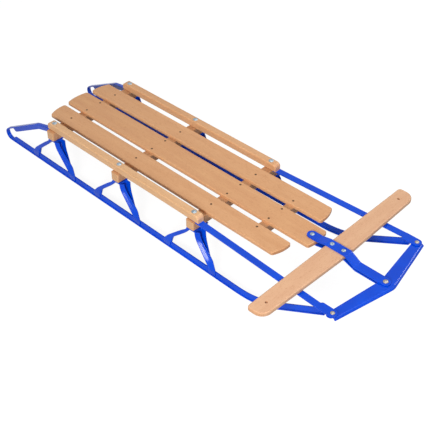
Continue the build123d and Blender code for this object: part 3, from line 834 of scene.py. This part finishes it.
def makeStrap(name, deckZ, barZ, slopeEnd, bumperZ, cadNode):
    # each height is of the strap's lower face
    half = strap["width"] / 2
    corners = [(pivot.x - half, 0, deckZ), (pivot.x + strap["flatPastPivot"], 0, deckZ),
               (barLow.x, 0, barZ), (barHigh.x + strap["flatPastBar"], 0, barZ),
               (barHigh.x + slopeEnd, 0, bumperZ), (bumperRivet.x + half, 0, bumperZ)]
    line = divided(rounded(corners, [strap["bendRadius"]] * 4), strap["step"])
    # rows across the strap: x, z and half the width there
    ends = [(half * math.sin(turn), half * math.cos(turn))
            for turn in map(math.radians, strap["endTurns"])]
    rows = [(pivot.x - out, line[0].z, width) for out, width in reversed(ends)]
    rows.append((pivot.x, line[0].z, half))
    rows += [(point.x, point.z, half) for point in line
             if pivot.x + strap["endMargin"] < point.x < bumperRivet.x - strap["endMargin"]]
    rows.append((bumperRivet.x, line[-1].z, half))
    rows += [(bumperRivet.x + out, line[-1].z, width) for out, width in ends]
    grid = [[(x, width * (2 * j / strap["columns"] - 1), z) for j in range(strap["columns"] + 1)]
            for x, z, width in rows]
    dressed(sheet(name, 1, grid, strap["thickness"], strap["edge"]), "steering", "enamel",
            [cadNode])


underside = strap["gap"] + strap["thickness"]
makeStrap("strap_top", slatTop + strap["gap"], barHigh.z, strap["upperSlopeEnd"], upperStrapBottom,
          "strap_upper")
makeStrap("strap_below", slatBottom - underside, barLow.z - strap["thickness"],
          strap["lowerSlopeEnd"], lowerStrapBottom, "strap_lower")
print("straps made")


# Fixings: domed heads above, hexagon nuts below
fixing = {
    # head's radius and height, shank's radius
    "carriageBolt": (6.6, 2.4, 3.0), "cornerRivet": (5.5, 2.6, 3.0),
    "slottedScrew": (5.5, 2.3, 2.5), "bumperRivet": (6.5, 2.8, 3.0),
    "domeSteps": 8, "rim": 0.5, "rimChamfer": 0.12, "crown": 0.15,
    "nutFlat": 8.6, "nutHeight": 4, "nutTurn": 0.3, "nutChamfer": 0.5, "nutFace": 0.88,
    "tipChamfer": 0.4, "tipPastNut": 1.2,
    "slotWidth": 1.3, "slotDepth": 1.4, "screwSpacing": 33, "rivetGap": 0.3,
}


def headProfile(bottom, radius, height):
    # a domed head with a short upright rim, its edge broken, closed by a tiny flat crown
    rim = fixing["rim"]
    dome = height - rim
    ball = (radius ** 2 + dome ** 2) / (2 * dome)
    widest = math.asin(min(1, radius / ball))
    points = [(radius, bottom), (radius, bottom + rim * 0.6)]
    for k in range(fixing["domeSteps"] + 1):
        turn = widest * (1 - k / fixing["domeSteps"])
        inwards = fixing["rimChamfer"] if k == 0 else 0
        points.append((max(fixing["crown"], ball * math.sin(turn)) - inwards,
                       bottom + rim + ball * math.cos(turn) - ball + dome))
    return points


def hexNut(x, y, top):
    bottom, chamfer, face = top - fixing["nutHeight"], fixing["nutChamfer"], fixing["nutFace"]
    rings = []
    for z, size in ((bottom, face), (bottom + chamfer, 1), (top - chamfer, 1), (top, face)):
        radius = fixing["nutFlat"] / 2 / math.cos(math.pi / 6) * size
        turns = [fixing["nutTurn"] + math.pi * k / 3 for k in range(6)]
        rings.append([(x + radius * math.cos(turn), y + radius * math.sin(turn), z)
                      for turn in turns])
    return lofted("nut", rings)


def makeBolt(kind, x, y, seat, nutTop):
    # seat is where the head rests, and the shank ends a little below the nut
    headRadius, headHeight, shank = fixing[kind]
    tip = nutTop - fixing["nutHeight"] - fixing["tipPastNut"]
    profile = [(shank - fixing["tipChamfer"], tip), (shank, tip + fixing["tipChamfer"]),
               (shank, seat - 0.05)]
    bolt = turned(kind, profile + headProfile(seat, headRadius, headHeight), x, y)
    return combined(bolt, [hexNut(x, y, nutTop)])


def makeScrew(x, seat, nutTop, slotTurn):
    # a bolt with a screwdriver slot across its head
    screw = makeBolt("slottedScrew", x, 0, seat, nutTop)
    headHeight, clear = fixing["slottedScrew"][1], 0.1
    top = seat + headHeight + clear
    bpy.ops.mesh.primitive_cube_add(size=1, location=(x * mm, 0, top * mm),
                                    rotation=(0, 0, slotTurn))
    blade = bpy.context.object
    blade.scale = (20 * mm, fixing["slotWidth"] * mm, 2 * (fixing["slotDepth"] + clear) * mm)
    return combined(screw, [blade], "DIFFERENCE")


def joined(name, pieces):
    # several separate solids as one named piece
    mesh = bmesh.new()
    for piece in pieces:
        mesh.from_mesh(piece.data)
        bpy.data.objects.remove(piece)
    made = newPiece(name, [], [])
    mesh.to_mesh(made.data)
    mesh.free()
    return settle(made, sharpAngle=38)


for sideName, side in sides.items():
    bolts = [makeBolt("carriageBolt", x, side * railLineY(x), railTop, benchBottom - knee["sheet"])
             for x in (benches[bench] for bench in kneeBenches)]
    dressed(joined(f"rail_carriage_bolts_{sideName}", bolts), "root", "zinc",
            [f"rail_bolts_{sideName}"])
    rivet = makeBolt("cornerRivet", cornerRivet.x, side * cornerRivet.y, benchTop,
                     bumperTop - bumper["thickness"] - fixing["rivetGap"])
    dressed(joined(f"corner_rivet_head_{sideName}", [rivet]), f"front_{sideName}", "nickel",
            [f"corner_rivet_{sideName}"])

barMiddle = (barLow.x + barHigh.x) / 2
screws = [makeScrew(barMiddle + along * fixing["screwSpacing"] / 2, barHigh.z + strap["thickness"],
                    barLow.z - strap["thickness"], turn) for along, turn in ((-1, 2.3), (1, 2.5))]
dressed(joined("bar_slotted_screws", screws), "steering", "zinc", ["bar_screws"])
screw = makeScrew(pivot.x, slatTop + underside + strap["gap"],
                  slatBottom - underside - strap["gap"], 2.0)
dressed(joined("pivot_slotted_screw", [screw]), "root", "zinc", ["pivot_screw"])
rivet = makeBolt("bumperRivet", bumperRivet.x, 0, upperStrapBottom + strap["thickness"],
                 lowerStrapBottom)
dressed(joined("bumper_rivet_head", [rivet]), "steering", "nickel",
        ["bumper_rivet"])
print("fixings made")


# Nails: small round heads left a hair proud, two in the centre slat over each bench and one
# in each side slat
nails = {
    "radius": 2.9, "proud": 0.12, "centreY": 24,
    "sideY": {"rear": 78.6, "middle": 79.5, "front": 80.5, "nose": 66},
}
radius, top = nails["radius"], slatTop + nails["proud"]
nailHead = [(radius * 0.7, slatTop - 1.5), (radius, slatTop - 0.2), (radius, top - 0.05),
            (radius * 0.8, top), (radius * 0.45, top - 0.03), (0.1, top - 0.06)]
nailPieces = []
for benchName, x in benches.items():
    centreY, sideY = nails["centreY"], nails["sideY"][benchName]
    nailPieces += [turned("nail", nailHead, x, y, 20) for y in (-sideY, -centreY, centreY, sideY)]
dressed(joined("slat_nails", nailPieces), "root", "nail")
print("nails made")


# Wood that keeps the CAD shape
woods = {
    "slat_centre": ("slatCentre", "slat_wood"), "slat_left": ("slatLeft", "slat_wood"),
    "slat_right": ("slatRight", "slat_wood"), "rail_left": ("shadedRailLeft", "rail_wood"),
    "rail_right": ("railRight", "rail_wood"), "steering_bar": ("bar", "bar_wood"),
}
woods.update({f"bench_{benchName}": ("bench", "slat_wood") for benchName in benches})
for cadNode, (material, slotName) in woods.items():
    wood = frame["nodes"][cadNode]
    wood.data.materials.clear()
    wood.data.materials.append(materials[material])
print("wood finished")


# Floor, lights and camera
# place, what it points at, width and height in metres, power in watts, whether gloss shows
# it: the enamel mirrors the smaller near lamp in place of the large one, to keep glare down
softboxes = {
    "overheadSoftbox": ((0.6, 0.1, 2.2), (0.2, 0, 0.1), 1.8, 1.8, 23.5, True),
    "nearSoftbox": ((1.1, -2.35, 1.35), (0.1, 0, 0.1), 1.4, 0.9, 42, False),
    "nearGlossSoftbox": ((1.42, -2.35, 1.16), (0.15, -0.15, 0.05), 0.42, 0.46, 27, True),
    "farSoftbox": ((1.0, 2.0, 1.62), (0.5, 0, 0.1), 0.6, 0.5, 13, True),
}
for name, (place, target, width, height, power, mirrored) in softboxes.items():
    lamp = bpy.data.lights.new(name, "AREA")
    lamp.shape = "RECTANGLE"
    lamp.size, lamp.size_y, lamp.energy = width, height, power
    holder = bpy.data.objects.new(name, lamp)
    scene.collection.objects.link(holder)
    holder.location = place
    holder.rotation_euler = (Vector(target) - Vector(place)).to_track_quat("-Z", "Y").to_euler()
    holder.visible_camera = False
    holder.visible_glossy = mirrored

studio = {
    "worldGrey": "#B4B4B4", "worldStrength": 0.38,
    # the floor's own colour lights the sled, and what the camera sees is lifted to near white
    "paper": "#A0A0A0", "shownPaper": "#7C7C7C", "paperLift": 0.9,
    "floorSize": 40,          # metres
    "floorDrop": 0.4,         # keeps the floor from sharing a plane with the treads
}


def shownDirectly(tree):
    # 1 for what the camera sees, straight or by a reflection or through glass
    rays = addNode(tree, "LightPath")
    mirrored = addNode(tree, "Math", {"operation": "MAXIMUM"},
                       {0: rays.outputs["Is Glossy Ray"], 1: rays.outputs["Is Transmission Ray"]})
    return addNode(tree, "Math", {"operation": "MAXIMUM"},
                   {0: rays.outputs["Is Camera Ray"], 1: mirrored})


world = bpy.data.worlds.new("studio")
scene.world = world
world.use_nodes = True
worldTree = world.node_tree
worldTree.nodes.clear()
soft = addNode(worldTree, "Background", {"Color": linear(studio["worldGrey"]),
                                         "Strength": studio["worldStrength"]})
white = addNode(worldTree, "Background", {"Color": [1, 1, 1, 1], "Strength": 1})
sky = addNode(worldTree, "MixShader", {}, {0: shownDirectly(worldTree), 1: soft, 2: white})
addNode(worldTree, "OutputWorld", {}, {"Surface": sky})


def floorMaterial():
    # matte white paper, shown near white, with the sled's soft shadow left on it
    material, tree = newMaterial("matteFloorPaper")
    paper = addNode(tree, "BsdfDiffuse", {"Color": linear(studio["paper"])})
    shown = addNode(tree, "BsdfDiffuse", {"Color": linear(studio["shownPaper"])})
    lift = addNode(tree, "Emission", {"Color": [1, 1, 1, 1], "Strength": studio["paperLift"]})
    lifted = addNode(tree, "AddShader", {}, {0: shown, 1: lift})
    shader = addNode(tree, "MixShader", {}, {0: shownDirectly(tree), 1: paper, 2: lifted})
    addNode(tree, "OutputMaterial", {}, {"Surface": shader})
    return material


reach = studio["floorSize"] / 2 / mm
corners = [(x * reach, y * reach, -studio["floorDrop"])
           for x, y in ((-1, -1), (1, -1), (1, 1), (-1, 1))]
floor = newPiece("floor", corners, [[0, 1, 2, 3]])
floor.data.materials.append(floorMaterial())

view = {
    "place": (1.35949, -1.36187, 1.59346),
    "right": (0.72353288, 0.69028719, 0.00194104),
    "up": (-0.44675107, 0.46612025, 0.76363957),
    "lens": 80.02,
    "sensorWidth": 36,
    "farthest": 60,
}
camera = bpy.data.objects.new("camera", bpy.data.cameras.new("camera"))
scene.collection.objects.link(camera)
right, up = Vector(view["right"]), Vector(view["up"])
facing = Matrix((right, up, right.cross(up))).transposed().to_4x4()
camera.matrix_world = Matrix.Translation(view["place"]) @ facing
camera.data.lens = view["lens"]
camera.data.sensor_width = view["sensorWidth"]
camera.data.clip_end = view["farthest"]
scene.camera = camera
scene.view_settings.view_transform = "Standard"
print("studio made")

bpy.context.view_layer.update()
